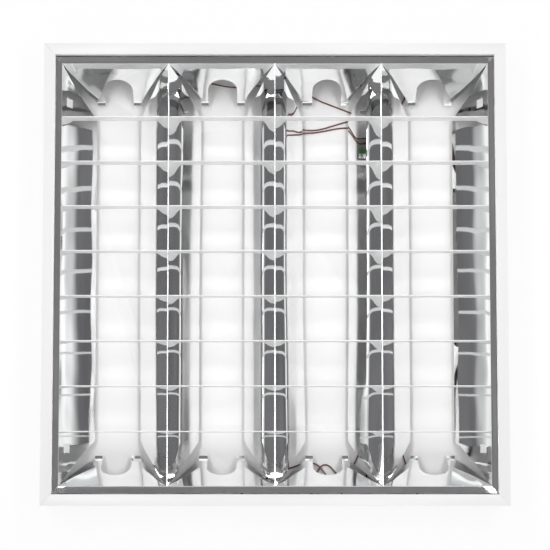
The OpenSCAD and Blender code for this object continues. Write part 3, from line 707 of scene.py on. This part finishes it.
def rounded(points):
    """Cuts the corners of a route three times over, so that it bends softly inside its straight runs."""
    points = [Vector(p) * mm for p in points]
    for _ in range(3):
        softer = [points[0]]
        for a, b in zip(points, points[1:]):
            softer += [a.lerp(b, 0.25), a.lerp(b, 0.75)]
        points = softer + [points[-1]]
    return points


def wire(points):
    """One insulated wire: a round tube drawn along its route and turned to a mesh."""
    bpy.ops.object.select_all(action="DESELECT")
    bpy.ops.curve.primitive_bezier_curve_add()
    made = bpy.context.object
    made.data.splines.clear()
    spline = made.data.splines.new("POLY")
    path = rounded(points)
    spline.points.add(len(path) - 1)
    for point, place in zip(spline.points, path):
        point.co = (*place, 1)
    made.data.dimensions = "3D"
    made.data.bevel_depth = wire_r * mm
    made.data.bevel_resolution = 4
    made.data.use_fill_caps = True
    bpy.ops.object.convert(target="MESH")
    return bpy.context.object


for node in routes:
    strands = [wire(points) for points in routes[node]]
    stand_in(joined(strands, node + "_tubes"), node, finishes[slot_of[node]], 60)


# Rigid parts: copies with their sharp edges broken, as bent sheet, mouldings and turned parts have them

# The width of the round on an edge in millimetres, by material slot
edge_of = {
    "white_enamel": 0.35,
    "satin_aluminium": 0.25,
    "white_plastic": 0.4,
    "rotor_plastic": 0.3,
    "zinc_steel": 0.25,
    "bright_steel": 0.15,
    "contact_bronze": 0.1,
    "gear_enamel": 0.4,
    "board_green": 0.15,
    "dark_plastic": 0.4,
    "black_rubber": 0.5,
}
weld = 0.002
flat_angle = 0.5
sharp_angle = 40


def softened(node):
    """A copy of a rigid node, its loose triangles merged and joined, with a small round on each edge."""
    bpy.ops.object.select_all(action="DESELECT")
    piece = bpy.data.objects.new(node + "_rounded", frame["nodes"][node].data.copy())
    bpy.context.scene.collection.objects.link(piece)
    only(piece)
    bpy.ops.object.mode_set(mode="EDIT")
    bpy.ops.mesh.select_all(action="SELECT")
    bpy.ops.mesh.remove_doubles(threshold=weld * mm)
    bpy.ops.mesh.dissolve_limited(angle_limit=math.radians(flat_angle))
    bpy.ops.object.mode_set(mode="OBJECT")
    modifier(piece, "BEVEL", width=edge_of[slot_of[node]] * mm, segments=2, limit_method="ANGLE",
             angle_limit=math.radians(sharp_angle))
    stand_in(piece, node, own_finish.get(node, finishes[slot_of[node]]))


for node in frame["nodes"]:
    if slot_of[node] in edge_of:
        softened(node)


# Studio: a pale floor, and a soft room that is bright all round and dark overhead where the camera is

# Tones overhead, from straight up to far aside: a place is how far a direction leans across for its
# height, as a share of lean_at_one
overhead_tones = [
    (0.0, (0.2, 0.195, 0.2, 1)),
    (0.12, (0.18, 0.176, 0.18, 1)),
    (0.32, (0.15, 0.147, 0.152, 1)),
    (0.55, (0.155, 0.153, 0.16, 1)),
    (0.73, (1.04, 1.04, 1.04, 1)),
    (0.86, (1.0, 1.0, 1.0, 1)),
    (1.0, (0.25, 0.25, 0.25, 1)),
]
lean_at_one = 2.0
least_height = 0.001
patch_scale = 9.0
patch_tones = (0.8, 1.2)
ends_from = 0.5
ends_full = 0.65
ends_aside_full = 0.5
ends_aside_none = 0.62
ends_strength = 1.1
low_from = 0.3
low_full = 0.2
floor_size = 14
floor_below = 0.5
floor_glow = 0.85
softbox_place = (0.85, 0.24, 2.2)
softbox_size = (0.46, 1.66)
softbox_watts = 17
white = (1, 1, 1, 1)


def seen_ray(tree):
    """Is 1 for the rays that show something to the camera, straight or by way of metal or glass."""
    ray = add(tree, "ShaderNodeLightPath")
    seen = add(tree, "ShaderNodeMath", {0: ray.outputs["Is Camera Ray"], 1: ray.outputs["Is Glossy Ray"]},
               operation="ADD")
    return add(tree, "ShaderNodeMath", {0: seen, 1: ray.outputs["Is Transmission Ray"]}, operation="ADD")


world = bpy.data.worlds.new("studio")
bpy.context.scene.world = world
world.use_nodes = True
tree = world.node_tree
tree.nodes.clear()
toward = add(tree, "ShaderNodeTexCoord").outputs["Generated"]
split = add(tree, "ShaderNodeSeparateXYZ", {"Vector": toward})
height = add(tree, "ShaderNodeMath", {0: split.outputs["Z"], 1: least_height}, operation="MAXIMUM")

# Across the lanes: dark above, bright at both sides, in soft patches
aside = add(tree, "ShaderNodeMath", {0: split.outputs["X"], 1: height}, operation="DIVIDE")
aside = add(tree, "ShaderNodeMath", {0: aside}, operation="ABSOLUTE")
aside = add(tree, "ShaderNodeMath", {0: aside, 1: lean_at_one}, operation="DIVIDE")
across = add(tree, "ShaderNodeValToRGB", {"Fac": aside})
ramp(across, overhead_tones)
patches = add(tree, "ShaderNodeTexNoise", {"Vector": toward, "Scale": patch_scale, "Detail": 2.0})
patches = add(tree, "ShaderNodeMapRange", {"Value": patches, "From Min": 0.3, "From Max": 0.7,
                                           "To Min": patch_tones[0], "To Max": patch_tones[1]})
overhead = add(tree, "ShaderNodeBackground", {"Color": across, "Strength": patches})

# Along the lanes: bright beyond both ends
along = add(tree, "ShaderNodeMath", {0: split.outputs["Y"], 1: height}, operation="DIVIDE")
along = add(tree, "ShaderNodeMath", {0: along}, operation="ABSOLUTE")
along = add(tree, "ShaderNodeMapRange", {"Value": along, "From Min": ends_from, "From Max": ends_full},
            interpolation_type="SMOOTHSTEP")
between = add(tree, "ShaderNodeMapRange", {"Value": aside, "From Min": ends_aside_full,
                                           "From Max": ends_aside_none, "To Min": 1.0, "To Max": 0.0},
              interpolation_type="SMOOTHSTEP")
along = add(tree, "ShaderNodeMath", {0: along, 1: between}, operation="MULTIPLY")
ends_light = add(tree, "ShaderNodeBackground", {"Color": white, "Strength": ends_strength})
room = add(tree, "ShaderNodeMixShader", {0: along, 1: overhead, 2: ends_light})

# Low down, where other views look past the floor, the room shows white
low_down = add(tree, "ShaderNodeMapRange", {"Value": split.outputs["Z"], "From Min": low_from,
                                            "From Max": low_full})
white_wall = add(tree, "ShaderNodeBackground", {"Color": white, "Strength": 1.0})
shown = add(tree, "ShaderNodeMath", {0: seen_ray(tree), 1: low_down}, operation="MULTIPLY")
background = add(tree, "ShaderNodeMixShader", {0: shown, 1: room, 2: white_wall})
add(tree, "ShaderNodeOutputWorld", {"Surface": background})

bpy.ops.object.select_all(action="DESELECT")
bpy.ops.mesh.primitive_plane_add(size=floor_size, location=(0, 0, -floor_below * mm))
floor = bpy.context.object
bpy.ops.object.transform_apply()
floor.name = "floor"
paper, tree = finish("white studio paper")
place = add(tree, "ShaderNodeTexCoord").outputs["Object"]
fibre = add(tree, "ShaderNodeTexNoise", {"Vector": place, "Scale": 400.0, "Detail": 3.0})
bump = add(tree, "ShaderNodeBump", {"Height": fibre, "Strength": 0.05, "Distance": 0.0002})
shader = add(tree, "ShaderNodeBsdfPrincipled",
             {"Base Color": linear("#f6f6f6"), "Roughness": 0.9, "Normal": bump})
glow = add(tree, "ShaderNodeEmission", {"Color": white, "Strength": 1.0})
share = add(tree, "ShaderNodeMath", {0: seen_ray(tree), 1: floor_glow}, operation="MULTIPLY")
blend = add(tree, "ShaderNodeMixShader", {0: share, 1: shader, 2: glow})
add(tree, "ShaderNodeOutputMaterial", {"Surface": blend})
floor.data.materials.append(paper)


def softbox(name, side):
    """An area lamp beside the camera, facing straight down."""
    x, y, z = softbox_place
    lamp = bpy.data.lights.new(name, "AREA")
    lamp.shape = "RECTANGLE"
    lamp.size, lamp.size_y = softbox_size
    lamp.energy = softbox_watts
    made = bpy.data.objects.new(name, lamp)
    made.location = (side * x, y, z)
    bpy.context.scene.collection.objects.link(made)


softbox("left softbox", -1)
softbox("right softbox", 1)

bpy.context.scene.view_settings.view_transform = "Standard"
